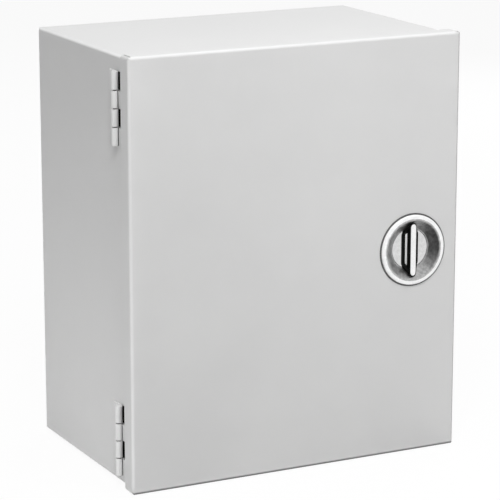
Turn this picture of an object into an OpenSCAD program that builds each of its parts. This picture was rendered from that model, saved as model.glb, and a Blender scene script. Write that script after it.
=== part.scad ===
// Wall-mounted steel electrical enclosure: folded box, overlapping hinged door, quarter-turn latch.
// Millimetres. Z is up, the door faces -Y and the back face lies on Y = 0.

/* [Enclosure body] */

// Width of the box over its side walls
body_w = 254; // [230:0.5:400]

// Height of the box over its top and bottom walls
body_h = 304.8; // [260:0.1:500]

// Depth of the box from its back face to the front of its lip
body_d = 160; // [110:0.5:250]

// Thickness of the folded sheet of box and door
sheet_t = 1.5; // [1.2:0.1:1.9]

// Outside radius of the folds of the box
body_bend_r = 2.5; // [2:0.1:4]

// Width of the lip that the box turns in around its opening
lip_w = 10; // [8:0.1:10.4]

// Depth of the lip frame's folded edge, up to its seam on the walls
lip_leg = 2.5; // [2:0.1:4]

// Radius of the opening's corners
opening_r = 3; // [1:0.5:8]

/* [Wall fixing] */

// Radius of each wall-fixing hole
wall_hole_r = 4; // [2.5:0.1:4.4]

// Distance of the wall-fixing holes from the outside of the walls
wall_hole_inset = 19; // [16:0.1:20]

/* [Door] */

// Free gap between a hinge leaf on the door and the side of the box
door_clear = 0.4; // [0.35:0.05:1]

// Free gap between the door's upper and lower flange and the box
lap_clear = 0.4; // [0.3:0.05:1]

// Depth of the flange around the door
flange_d = 12.7; // [10:0.1:16]

// Outside radius of the fold between the door's face and its flange
door_bend_r = 2.5; // [2.1:0.1:3.5]

// Radius of the door's corners, seen from the front
door_corner_r = 3; // [2.5:0.1:6]

// Width of the open slit at each end of the upper and lower flange
slit_w = 0.8; // [0.5:0.1:1.5]

// Distance of the slit from the outside of the side flange
slit_inset = 1.9; // [1.5:0.1:2.4]

// Room for the gasket between the door's inner face and the lip
gasket_gap = 5; // [4:0.5:8]

// Set-back of the gasket from the edges of the lip
gasket_inset = 0.5; // [0.4:0.1:1.5]

/* [Hinges] */

// Length of each hinge
hinge_len = 50.8; // [38:0.1:76]

// Outside radius of the hinge barrel
barrel_r = 2.5; // [2.2:0.1:3]

// Radius of the hinge pin
pin_r = 1.25; // [1:0.05:1.4]

// Radial clearance of the pin in its knuckles
pin_clear = 0.05; // [0.02:0.01:0.09]

// Radius of the headed ends of the pin
pin_head_r = 1.9; // [1.6:0.1:2.1]

// Height of the headed ends of the pin
pin_head_h = 0.6; // [0.4:0.1:1.5]

// Gap between neighbouring knuckles
knuckle_gap = 0.5; // [0.3:0.1:1]

// Thickness of the hinge leaves
leaf_t = 1.2; // [1:0.1:1.6]

// Reach of the leaf on the box behind the barrel's axis
body_leaf_w = 13; // [10:0.5:20]

// Reach of the leaf on the door under the flange
door_leaf_w = 8; // [4:0.5:8]

// Radius of the leaf corners
leaf_corner_r = 1.5; // [1:0.1:3]

// Distance of the barrel's axis behind the rear edge of the flange
hinge_setback = 10; // [7.5:0.5:16]

// Set-back of the leaf's cut-outs under the flange
leaf_cut = 1.5; // [0.5:0.5:3]

// Distance of the upper hinge below the top of the box
upper_hinge_drop = 11; // [6:0.5:40]

// Distance of the lower hinge above the bottom of the box
lower_hinge_rise = 7; // [6:0.5:40]

/* [Latch cup] */

// Distance of the latch from the door's free edge
latch_edge = 37.6; // [37.4:0.1:40]

// Distance of the latch below the middle of the door
latch_drop = 2; // [-40:0.5:40]

// Outside radius of the cup's rim
rim_r = 25.8; // [25:0.1:26.4]

// Height of the rim over the door's face
rim_h = 2; // [1.9:0.1:2.6]

// Edge rounding of the rim
rim_round = 1.2; // [1:0.1:1.3]

// Thickness of the rubber seal between rim and door
seal_t = 0.6; // [0.5:0.1:0.7]

// Distance that the seal stands out around the rim
seal_proud = 1.1; // [0.5:0.1:1.4]

// Width of the flat crest of the rim between its roundings
rim_crest = 1.5; // [1.2:0.1:1.7]

// Radius of the threaded neck that passes through the door
neck_r = 22; // [21.9:0.1:22.3]

// Radial clearance of the neck in the door's hole
neck_clear = 0.4; // [0.3:0.1:0.8]

// Edge bevel at the back of the neck
neck_bevel = 1; // [0.5:0.1:1.5]

// Radius of the bowl's bottom
bowl_r = 15.6; // [15.3:0.1:15.8]

// Depth of the bowl's bottom below the door's face
bowl_depth = 3.7; // [3.3:0.1:4]

// Thickness of the cup's floor
cup_floor_t = 2.3; // [1.8:0.1:2.6]

// Radius of the boss behind the cup
boss_r = 10; // [9:0.1:12]

// Outside radius of the ring nut behind the door
ring_nut_r = 24.4; // [23.9:0.1:24.6]

// Thickness of the ring nut
ring_nut_t = 3.2; // [2.4:0.1:4.5]

// Width of the spanner notches in the ring nut
notch_w = 4; // [3:0.1:6]

// Depth of the spanner notches in the ring nut
notch_d = 1.2; // [0.8:0.1:1.4]

/* [Latch knob] */

// Gap between the knob's disc and the recess that holds it
disc_clear = 0.3; // [0.3:0.05:0.6]

// Thickness of the knob's disc
disc_t = 1.2; // [0.8:0.1:1.6]

// Flat land between the bowl and the recess of the disc
recess_land = 0.6; // [0.3:0.1:0.8]

// Length of the blade along its front edge
blade_len = 40.4; // [36:0.2:41]

// Least gap between the blade's ends and the crest of the rim around them
blade_gap = 2; // [1:0.1:2.6]

// Length of the blade at the disc
blade_base = 28; // [22:0.5:28.4]

// Thickness of the blade
blade_t = 5.6; // [4.6:0.1:6]

// Height of the blade over the disc
blade_h = 5.4; // [4.5:0.1:6]

// Rounding of the blade's front corners, seen from the side
blade_nose_r = 0.8; // [0.5:0.1:1]

// Rounding of the blade's ends, seen from the front
blade_end_r = 2.2; // [1:0.1:2.2]

// Bevel along the blade's front edges
blade_bevel = 0.6; // [0.3:0.1:0.9]

// Run and height of the sloped foot along each side of the blade
blade_foot = 1.1; // [0.5:0.1:1.5]

// Distance that the foot stays short of the blade's end at the disc
foot_short = 0.8; // [0.6:0.1:3]

// Radius of the knob's shaft
shaft_r = 6; // [5.7:0.1:6.5]

// Radial clearance of the shaft in the cup
shaft_clear = 0.06; // [0.03:0.01:0.1]

// Side of the square end of the shaft
square_w = 8; // [7:0.1:8.2]

// Distance that the square end stays below the cam's rear face
square_short = 0.2; // [0.1:0.1:0.5]

/* [Latch cam] */

// Height of the conical spring washer as fitted
spring_h = 0.8; // [0.6:0.1:1.2]

// Sheet thickness of the conical spring washer
spring_t = 0.4; // [0.3:0.05:0.5]

// Outside radius of the conical spring washer
spring_r = 9; // [8.4:0.1:10]

// Gap between the cam and the rear face of the lip
cam_clear = 1.2; // [1:0.1:2]

// Thickness of the cam
cam_t = 2.5; // [2:0.1:4]

// Reach of the cam from its axis
cam_reach = 30; // [28:0.5:32]

// Radius of the cam's hub
cam_hub_r = 10; // [9:0.1:12]

// Width of the cam's arm
cam_arm_w = 14; // [10:0.5:16]

// Play of the cam on the square end
cam_fit = 0.05; // [0.03:0.01:0.1]

// Radius of the cam screw's shank
cam_screw_r = 2; // [1.5:0.1:2.5]

// Length of the cam screw's shank
cam_screw_len = 6; // [4:0.5:6.5]

// Radius of the cam screw's collar
cam_collar_r = 7; // [6.2:0.1:8]

// Thickness of the cam screw's collar
cam_collar_t = 1.2; // [0.8:0.1:2]

// Radius of the cam screw's head
cam_head_r = 4; // [3.4:0.1:5]

// Height of the cam screw's head
cam_head_h = 2.6; // [2:0.1:4]

// Width of the hexagon socket in the cam screw across corners
cam_socket_w = 4; // [3:0.1:4.6]

// Depth of the hexagon socket in the cam screw
cam_socket_d = 1.6; // [1:0.1:1.8]

/* [Back panel] */

// Margin between the panel and the outside of the walls
panel_margin = 25.4; // [24.6:0.1:40]

// Thickness of the panel
panel_t = 1.9; // [1.5:0.1:3]

// Radius of the panel's corners
panel_corner_r = 3; // [1:0.5:8]

// Distance of the panel's studs from the panel's edges
panel_stud_inset = 12; // [9:0.5:20]

// Distance of the panel in front of the inside of the back wall
panel_standoff = 12; // [8:0.5:20]

// Radius of the collar that carries the panel on each stud
collar_r = 5.5; // [4.6:0.1:7]

// Radial clearance of the studs in the panel
panel_hole_clear = 0.4; // [0.3:0.05:0.8]

/* [Studs, nuts and washers] */

// Radius of the weld studs
stud_r = 3; // [2.5:0.1:3.2]

// Length of stud that stands out of its nut
stud_tail = 3; // [1:0.5:6]

// Radial clearance of a nut or screw on its thread
thread_clear = 0.08; // [0.05:0.01:0.1]

// Radial clearance of a washer on its stud
washer_clear = 0.2; // [0.1:0.05:0.25]

// Outside radius of the washers
washer_r = 6; // [5.2:0.1:6.5]

// Thickness of the washers
washer_t = 1.2; // [0.8:0.1:1.6]

// Width of the nuts across flats
nut_af = 10; // [9:0.1:10.5]

// Thickness of the nuts
nut_t = 5; // [4:0.1:6]

// Edge bevel of nuts, stud ends and shaft ends
bevel = 0.5; // [0.3:0.1:0.8]

// Distance of the body's ground stud from the outside of the bottom wall
ground_inset = 13; // [12:0.5:14]

// Distance of the door's ground stud from the door's hinged edge
door_ground_x = 32; // [30:0.5:60]

// Distance of the door's ground stud from the door's lower edge
door_ground_z = 28; // [26:0.5:60]

/* [Hidden] */

$fn = 64;

eps = 0.01;
past = 5;

door_lap = sheet_t + leaf_t + door_clear;
door_w = body_w + 2 * door_lap;
door_h = body_h + 2 * (sheet_t + lap_clear);

lip_y = -body_d;
seam_y = lip_y + lip_leg;
door_in_y = lip_y - gasket_gap;
door_y = door_in_y - sheet_t;
flange_y = door_y + flange_d;
back_in_y = -sheet_t;

opening_w = body_w - 2 * lip_w;
opening_h = body_h - 2 * lip_w;

wall_pitch_x = body_w - 2 * wall_hole_inset;
wall_pitch_z = body_h - 2 * wall_hole_inset;

hinge_x = -(body_w / 2 + door_clear + barrel_r);
hinge_y = flange_y + hinge_setback;
knuckles = 4;
knuckle_h = hinge_len / knuckles;
upper_hinge_z = body_h / 2 - upper_hinge_drop - hinge_len;
lower_hinge_z = -body_h / 2 + lower_hinge_rise;

// A blade too long for the rim widens the whole cup, and moves it in from the door's edge
cup_grow = max(0, blade_len / 2 + blade_gap + rim_crest + rim_round - rim_r);
cup_rim_r = rim_r + cup_grow;
cup_neck_r = neck_r + cup_grow;
cup_nut_r = ring_nut_r + cup_grow;
latch_x = door_w / 2 - latch_edge - cup_grow;
latch_z = -latch_drop;

rim_c = rim_h - rim_round;
rim_out_c = cup_rim_r - rim_round;
rim_in_c = rim_out_c - rim_crest;
cone_dx = rim_in_c - bowl_r;
cone_dz = rim_c + bowl_depth;
cone_l = norm([cone_dx, cone_dz]);
cone_a = atan2(cone_dz, cone_dx) + asin(rim_round / cone_l);
cone_run = sqrt(cone_l * cone_l - rim_round * rim_round);
recess_r = bowl_r - recess_land;
recess_z = -bowl_depth - disc_t;
cup_back_z = recess_z - cup_floor_t;
shaft_bore_r = shaft_r + shaft_clear;
cam_front_z = -(2 * sheet_t + gasket_gap + cam_clear);
cam_back_z = cam_front_z - cam_t;
boss_z = cam_front_z + spring_h;
square_z = cam_back_z + square_short;
spring_bore_r = shaft_r + washer_clear;
blade_top_z = blade_h - bowl_depth;
ring_nut_z = -sheet_t - ring_nut_t;
cam_tip_c = cam_reach + cup_grow - cam_arm_w / 2;

panel_w = body_w - 2 * panel_margin;
panel_h = body_h - 2 * panel_margin;
panel_y = back_in_y - panel_standoff;
panel_front_y = panel_y - panel_t;
panel_stud_x = panel_w / 2 - panel_stud_inset;
panel_stud_z = panel_h / 2 - panel_stud_inset;
panel_stud_len = panel_standoff + panel_t + washer_t + nut_t + stud_tail;
ground_len = washer_t + nut_t + stud_tail;
ground_z = -body_h / 2 + ground_inset;
door_stud_x = -door_w / 2 + door_ground_x;
door_stud_z = -door_h / 2 + door_ground_z;

paint = [0.80, 0.80, 0.79];
zinc = [0.72, 0.73, 0.74];
bright = [0.78, 0.78, 0.79];
foam = [0.08, 0.08, 0.08];

module round_rect(w, h, r) {
    square([w - 2 * r, h], center = true);
    square([w, h - 2 * r], center = true);
    for (x = [-1, 1], y = [-1, 1])
        translate([x * (w / 2 - r), y * (h / 2 - r)])
            circle(r);
}

// A flat XZ outline drawn out along Y, from front to back
module along_y(front, back) {
    translate([0, back, 0])
        rotate([90, 0, 0])
            linear_extrude(back - front)
                children();
}

// A YZ outline drawn out along X
module along_x(left, right) {
    translate([left, 0, 0])
        rotate([90, 0, 90])
            linear_extrude(right - left)
                children();
}

// A block with rounded corners seen from the front and folded edges at front and back
module folded_block(w, h, front, back, corner_r, fold_r) {
    mid = (front + back) / 2;
    d = back - front;
    intersection() {
        along_y(front, back)
            round_rect(w, h, corner_r);
        translate([0, mid, -h / 2])
            linear_extrude(h)
                round_rect(w, d, fold_r);
        along_x(-w / 2, w / 2)
            translate([mid, 0])
                round_rect(d, h, fold_r);
    }
}

// Places a child that points to +Z so that it points out of the door's face
module at_latch() {
    translate([latch_x, door_y, latch_z])
        rotate([90, 0, 0])
            children();
}

// Places a child that points to +Z so that it points to the front from a given place
module facing_front(x, y, z) {
    translate([x, y, z])
        rotate([90, 0, 0])
            children();
}

// Places a child that points to +Z so that it points to the back from a given place
module facing_back(x, y, z) {
    translate([x, y, z])
        rotate([-90, 0, 0])
            children();
}

module ring(outer, inner, h) {
    difference() {
        cylinder(r = outer, h = h);
        translate([0, 0, -past])
            cylinder(r = inner, h = h + 2 * past);
    }
}

module hex_nut(af, bore, h) {
    corner = af / sqrt(3);
    difference() {
        intersection() {
            cylinder(r = corner, h = h, $fn = 6);
            rotate_extrude()
                polygon([
                    [0, 0],
                    [corner - bevel, 0],
                    [corner, bevel],
                    [corner, h - bevel],
                    [corner - bevel, h],
                    [0, h]
                ]);
        }
        translate([0, 0, -past])
            cylinder(r = bore, h = h + 2 * past);
    }
}

module beveled_stud(r, h) {
    rotate_extrude()
        polygon([
            [0, 0],
            [r, 0],
            [r, h - bevel],
            [r - bevel, h],
            [0, h]
        ]);
}

module at_panel_studs(y) {
    for (x = [-1, 1], z = [-1, 1])
        facing_front(x * panel_stud_x, y, z * panel_stud_z)
            children();
}

// The whole folded box, with its lip turned in around the opening
module box_form() {
    difference() {
        folded_block(body_w, body_h, lip_y, 0, body_bend_r, body_bend_r);
        folded_block(
            body_w - 2 * sheet_t,
            body_h - 2 * sheet_t,
            lip_y + sheet_t,
            back_in_y,
            body_bend_r - sheet_t,
            body_bend_r - sheet_t
        );
        along_y(lip_y - past, lip_y + sheet_t + past)
            round_rect(opening_w, opening_h, opening_r);
        for (x = [-1, 1], z = [-1, 1])
            facing_front(x * wall_pitch_x / 2, past, z * wall_pitch_z / 2)
                cylinder(r = wall_hole_r, h = sheet_t + 2 * past);
    }
}

module body_shell() {
    color(paint)
        intersection() {
            box_form();
            translate([-body_w, seam_y, -body_h])
                cube([2 * body_w, body_d, 2 * body_h]);
        }
}

// The frame with the turned-in lip, welded to the front of the walls
module body_lip() {
    color(paint)
        intersection() {
            box_form();
            translate([-body_w, lip_y - past, -body_h])
                cube([2 * body_w, lip_leg + past, 2 * body_h]);
        }
}

module door_panel() {
    inside = door_corner_r - sheet_t;
    fold_in = door_bend_r - sheet_t;
    slit_x = door_w / 2 - slit_inset - slit_w;
    slit_h = sheet_t + inside;
    color(paint)
        difference() {
            intersection() {
                folded_block(door_w, door_h, door_y, flange_y + past, door_corner_r, door_bend_r);
                translate([-door_w, door_y - past, -door_h])
                    cube([2 * door_w, flange_d + past, 2 * door_h]);
            }
            folded_block(
                door_w - 2 * sheet_t,
                door_h - 2 * sheet_t,
                door_in_y,
                flange_y + 2 * past,
                inside,
                fold_in
            );
            for (side = [0, 1], end = [0, 1])
                mirror([side, 0, 0])
                    mirror([0, 0, end])
                        translate([slit_x, door_y + fold_in, door_h / 2 - slit_h])
                            cube([slit_w, flange_d + past, slit_h + past]);
            at_latch()
                translate([0, 0, -sheet_t - past])
                    cylinder(r = cup_neck_r + neck_clear, h = sheet_t + 2 * past);
        }
}

module door_gasket() {
    color(foam)
        difference() {
            along_y(door_in_y, lip_y)
                round_rect(body_w - 2 * gasket_inset, body_h - 2 * gasket_inset, body_bend_r);
            along_y(door_in_y - past, lip_y + past)
                round_rect(opening_w + 2 * gasket_inset, opening_h + 2 * gasket_inset, opening_r);
        }
}

// One knuckle of a hinge, counted from the lower end
module knuckle(z, i) {
    low = i == 0 ? 0 : knuckle_gap / 2;
    high = i == knuckles - 1 ? 0 : knuckle_gap / 2;
    translate([hinge_x, hinge_y, z + i * knuckle_h + low])
        cylinder(r = barrel_r, h = knuckle_h - low - high);
}

// The strip that joins one knuckle to its leaf, from the barrel's axis to the leaf
module knuckle_tab(x, y, run, z, i) {
    low = i == 0 ? 0 : knuckle_gap / 2;
    high = i == knuckles - 1 ? 0 : knuckle_gap / 2;
    translate([x, y, z + i * knuckle_h + low])
        cube([leaf_t, run, knuckle_h - low - high]);
}

module pin_bore(z) {
    translate([hinge_x, hinge_y, z - past])
        cylinder(r = pin_r + pin_clear, h = hinge_len + 2 * past);
}

// The leaf on the side of the box, with the first and third knuckle from the top
module hinge_body_leaf(z) {
    leaf_x = -body_w / 2 - leaf_t;
    leaf_y = hinge_y + barrel_r + knuckle_gap;
    leaf_end = hinge_y + body_leaf_w;
    reach = leaf_end - leaf_y;
    color(paint)
        difference() {
            union() {
                intersection() {
                    along_x(leaf_x, -body_w / 2)
                        translate([leaf_y, z + hinge_len / 2])
                            round_rect(2 * reach, hinge_len, leaf_corner_r);
                    translate([leaf_x - past, leaf_y, z - past])
                        cube([leaf_t + 2 * past, reach + past, hinge_len + 2 * past]);
                }
                for (i = [1, 3]) {
                    knuckle(z, i);
                    knuckle_tab(leaf_x, hinge_y, leaf_y - hinge_y + eps, z, i);
                }
            }
            pin_bore(z);
        }
}

// The leaf under the door's side flange, with the second and fourth knuckle from the top
module hinge_door_leaf(z) {
    leaf_x = -body_w / 2 - door_clear - leaf_t;
    leaf_y = flange_y - leaf_cut;
    leaf_end = leaf_y - door_leaf_w;
    color(paint)
        difference() {
            union() {
                intersection() {
                    along_x(leaf_x, leaf_x + leaf_t)
                        translate([leaf_y, z + hinge_len / 2])
                            round_rect(2 * door_leaf_w, hinge_len, leaf_corner_r);
                    translate([leaf_x - past, leaf_end - past, z - past])
                        cube([leaf_t + 2 * past, door_leaf_w + past, hinge_len + 2 * past]);
                }
                for (i = [0, 2]) {
                    knuckle(z, i);
                    knuckle_tab(leaf_x, leaf_y - eps, hinge_y - leaf_y + eps, z, i);
                }
            }
            pin_bore(z);
        }
}

module hinge_pin(z) {
    color(paint)
        translate([hinge_x, hinge_y, z]) {
            translate([0, 0, -pin_head_h])
                cylinder(r = pin_r, h = hinge_len + 2 * pin_head_h);
            translate([0, 0, -pin_head_h])
                cylinder(r = pin_head_r, h = pin_head_h);
            translate([0, 0, hinge_len])
                cylinder(r = pin_head_r, h = pin_head_h);
        }
}

module upper_hinge_body_leaf() {
    hinge_body_leaf(upper_hinge_z);
}

module upper_hinge_door_leaf() {
    hinge_door_leaf(upper_hinge_z);
}

module upper_hinge_pin() {
    hinge_pin(upper_hinge_z);
}

module lower_hinge_body_leaf() {
    hinge_body_leaf(lower_hinge_z);
}

module lower_hinge_door_leaf() {
    hinge_door_leaf(lower_hinge_z);
}

module lower_hinge_pin() {
    hinge_pin(lower_hinge_z);
}

// Section of the cup from its axis outwards, with the door's face at height 0
module cup_section() {
    polygon([
        [shaft_bore_r, boss_z],
        [boss_r, boss_z],
        [boss_r, cup_back_z],
        [cup_neck_r - neck_bevel, cup_back_z],
        [cup_neck_r, cup_back_z + neck_bevel],
        [cup_neck_r, seal_t],
        [cup_rim_r, seal_t],
        [cup_rim_r, rim_c],
        [rim_out_c, rim_h],
        [rim_in_c, rim_h],
        [bowl_r + cone_run * cos(cone_a), cone_run * sin(cone_a) - bowl_depth],
        [bowl_r, -bowl_depth],
        [recess_r, -bowl_depth],
        [recess_r, recess_z],
        [shaft_bore_r, recess_z]
    ]);
    intersection() {
        for (r = [rim_out_c, rim_in_c])
            translate([r, rim_c])
                circle(rim_round);
        translate([0, seal_t])
            square([cup_rim_r, rim_h]);
    }
}

module latch_cup() {
    color(bright)
        at_latch()
            rotate_extrude()
                cup_section();
}

module latch_cup_seal() {
    color(foam)
        at_latch()
            ring(cup_rim_r + seal_proud, cup_neck_r + neck_clear, seal_t);
}

// The slotted ring nut on the cup's neck, behind the door
module latch_ring_nut() {
    color(zinc)
        at_latch()
            translate([0, 0, ring_nut_z])
                difference() {
                    ring(cup_nut_r, cup_neck_r + thread_clear, ring_nut_t);
                    for (a = [45:90:315])
                        rotate(a)
                            translate([cup_nut_r - notch_d, -notch_w / 2, -past])
                                cube([notch_d + past, notch_w, ring_nut_t + 2 * past]);
                }
}

// Side outline of the blade: longer along its front edge than at the disc
module blade_side() {
    low = -bowl_depth - eps;
    nose_z = blade_top_z - blade_nose_r;
    nose_x = blade_len / 2 - blade_nose_r;
    polygon([
        [-blade_base / 2, low],
        [blade_base / 2, low],
        [blade_len / 2, nose_z],
        [nose_x, blade_top_z],
        [-nose_x, blade_top_z],
        [-blade_len / 2, nose_z]
    ]);
    for (end = [-1, 1])
        translate([end * nose_x, nose_z])
            circle(blade_nose_r);
}

// Cross-section of the blade: beveled along its front edges and splayed at its foot
module blade_section() {
    half = blade_t / 2;
    low = -bowl_depth - eps;
    foot_z = -bowl_depth + blade_foot;
    bevel_z = blade_top_z - blade_bevel;
    polygon([
        [-half - blade_foot, low],
        [half + blade_foot, low],
        [half, foot_z],
        [half, bevel_z],
        [half - blade_bevel, blade_top_z],
        [-half + blade_bevel, blade_top_z],
        [-half, bevel_z],
        [-half, foot_z]
    ]);
}

module blade() {
    wide = blade_t + 2 * blade_foot;
    intersection() {
        rotate([90, 0, 90])
            translate([0, 0, -wide / 2])
                linear_extrude(wide)
                    blade_side();
        translate([0, blade_len / 2, 0])
            rotate([90, 0, 0])
                linear_extrude(blade_len)
                    blade_section();
        translate([0, 0, -bowl_depth - past])
            linear_extrude(blade_h + 2 * past) {
                round_rect(blade_t, blade_len, blade_end_r);
                square([wide, blade_base - 2 * foot_short], center = true);
            }
    }
}

module latch_knob() {
    color(bright)
        at_latch()
            difference() {
                union() {
                    translate([0, 0, recess_z])
                        cylinder(r = recess_r - disc_clear, h = disc_t);
                    blade();
                    translate([0, 0, boss_z])
                        cylinder(r = shaft_r, h = recess_z - boss_z + eps);
                    translate([-square_w / 2, -square_w / 2, square_z])
                        cube([square_w, square_w, boss_z - square_z + eps]);
                }
                translate([0, 0, square_z - past])
                    cylinder(r = cam_screw_r + thread_clear, h = past + cam_screw_len);
            }
}

module latch_spring_washer() {
    color(zinc)
        at_latch()
            rotate_extrude()
                polygon([
                    [spring_bore_r, boss_z],
                    [spring_r, cam_front_z + spring_t],
                    [spring_r, cam_front_z],
                    [spring_bore_r, boss_z - spring_t]
                ]);
}

module latch_cam() {
    hole = square_w + 2 * cam_fit;
    tip_r = cam_arm_w / 2;
    color(zinc)
        at_latch()
            translate([0, 0, cam_back_z])
                linear_extrude(cam_t)
                    difference() {
                        union() {
                            circle(cam_hub_r);
                            translate([-tip_r, 0])
                                square([cam_arm_w, cam_tip_c]);
                            translate([0, cam_tip_c])
                                circle(tip_r);
                        }
                        square(hole, center = true);
                    }
}

module latch_cam_screw() {
    collar_z = cam_back_z - cam_collar_t;
    head_z = collar_z - cam_head_h;
    color(zinc)
        at_latch()
            difference() {
                union() {
                    translate([0, 0, collar_z])
                        cylinder(r = cam_screw_r, h = cam_collar_t + cam_screw_len);
                    translate([0, 0, collar_z])
                        cylinder(r = cam_collar_r, h = cam_collar_t);
                    translate([0, 0, head_z])
                        cylinder(r = cam_head_r, h = cam_head_h + eps);
                }
                translate([0, 0, head_z - past])
                    cylinder(r = cam_socket_w / 2, h = past + cam_socket_d, $fn = 6);
            }
}

module panel_studs() {
    color(zinc)
        at_panel_studs(back_in_y) {
            beveled_stud(stud_r, panel_stud_len);
            cylinder(r = collar_r, h = panel_standoff);
        }
}

module back_panel() {
    color(paint)
        difference() {
            along_y(panel_front_y, panel_y)
                round_rect(panel_w, panel_h, panel_corner_r);
            at_panel_studs(panel_y + past)
                cylinder(r = stud_r + panel_hole_clear, h = panel_t + 2 * past);
        }
}

module panel_washers() {
    color(zinc)
        at_panel_studs(panel_front_y)
            ring(washer_r, stud_r + washer_clear, washer_t);
}

module panel_nuts() {
    color(zinc)
        at_panel_studs(panel_front_y - washer_t)
            hex_nut(nut_af, stud_r + thread_clear, nut_t);
}

module ground_stud() {
    color(zinc)
        facing_front(0, back_in_y, ground_z)
            beveled_stud(stud_r, ground_len);
}

module ground_washer() {
    color(zinc)
        facing_front(0, back_in_y, ground_z)
            ring(washer_r, stud_r + washer_clear, washer_t);
}

module ground_nut() {
    color(zinc)
        facing_front(0, back_in_y - washer_t, ground_z)
            hex_nut(nut_af, stud_r + thread_clear, nut_t);
}

module door_ground_stud() {
    color(zinc)
        facing_back(door_stud_x, door_in_y, door_stud_z)
            beveled_stud(stud_r, ground_len);
}

module door_ground_washer() {
    color(zinc)
        facing_back(door_stud_x, door_in_y, door_stud_z)
            ring(washer_r, stud_r + washer_clear, washer_t);
}

module door_ground_nut() {
    color(zinc)
        facing_back(door_stud_x, door_in_y + washer_t, door_stud_z)
            hex_nut(nut_af, stud_r + thread_clear, nut_t);
}

body_shell();
body_lip();
door_panel();
door_gasket();
upper_hinge_body_leaf();
upper_hinge_door_leaf();
upper_hinge_pin();
lower_hinge_body_leaf();
lower_hinge_door_leaf();
lower_hinge_pin();
latch_cup();
latch_cup_seal();
latch_ring_nut();
latch_knob();
latch_spring_washer();
latch_cam();
latch_cam_screw();
panel_studs();
back_panel();
panel_washers();
panel_nuts();
ground_stud();
ground_washer();
ground_nut();
door_ground_stud();
door_ground_washer();
door_ground_nut();
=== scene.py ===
"""Dresses the sheet-steel electrical enclosure: paint, plated hardware, cast latch, hinges and studio."""

import logging
import math
from dataclasses import dataclass
from enum import Enum

import bmesh
import bpy
from bmesh.types import BMEdge, BMesh, BMVert
from bpy.types import Material, Node, NodeSocket, NodeTree, Object
from mathutils import Matrix, Vector


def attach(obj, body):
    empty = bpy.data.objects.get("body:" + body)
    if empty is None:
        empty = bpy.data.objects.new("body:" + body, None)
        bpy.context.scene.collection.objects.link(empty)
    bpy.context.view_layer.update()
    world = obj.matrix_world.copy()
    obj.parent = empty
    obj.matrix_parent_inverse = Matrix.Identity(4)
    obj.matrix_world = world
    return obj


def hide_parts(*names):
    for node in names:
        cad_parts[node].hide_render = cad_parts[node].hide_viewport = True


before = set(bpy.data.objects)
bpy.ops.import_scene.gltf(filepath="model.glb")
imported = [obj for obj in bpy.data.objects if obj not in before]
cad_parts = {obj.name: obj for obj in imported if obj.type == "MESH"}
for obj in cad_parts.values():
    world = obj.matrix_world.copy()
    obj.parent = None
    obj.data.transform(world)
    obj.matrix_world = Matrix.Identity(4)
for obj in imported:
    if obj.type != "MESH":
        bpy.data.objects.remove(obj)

LOG = logging.getLogger("enclosure")
MM = 0.001
TURN = 2.0 * math.pi

Colour = tuple[float, float, float]
Point = tuple[float, float, float]
Outline = list[tuple[float, float]]
Feed = NodeSocket | float | tuple[float, ...]


class Part(Enum):
    """Rigid bodies of the enclosure that a piece can ride on."""

    BOX = "body"
    DOOR = "door"
    LATCH = "latch"


class Facing(Enum):
    """Ways that a turned piece can point, as a quarter turn about the width of the box."""

    FRONT = 90.0
    BACK = -90.0


class Effect(Enum):
    """Surface effects that a finish can use, by the names of their node groups."""

    POWDER = "powder coat"
    CAST = "cast metal"
    ZINC = "zinc spangle"
    FOAM = "closed foam"


def grey(tone: float) -> Colour:
    """Returns a neutral colour of one linear tone."""
    return (tone, tone, tone)


# Shader node groups


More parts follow.
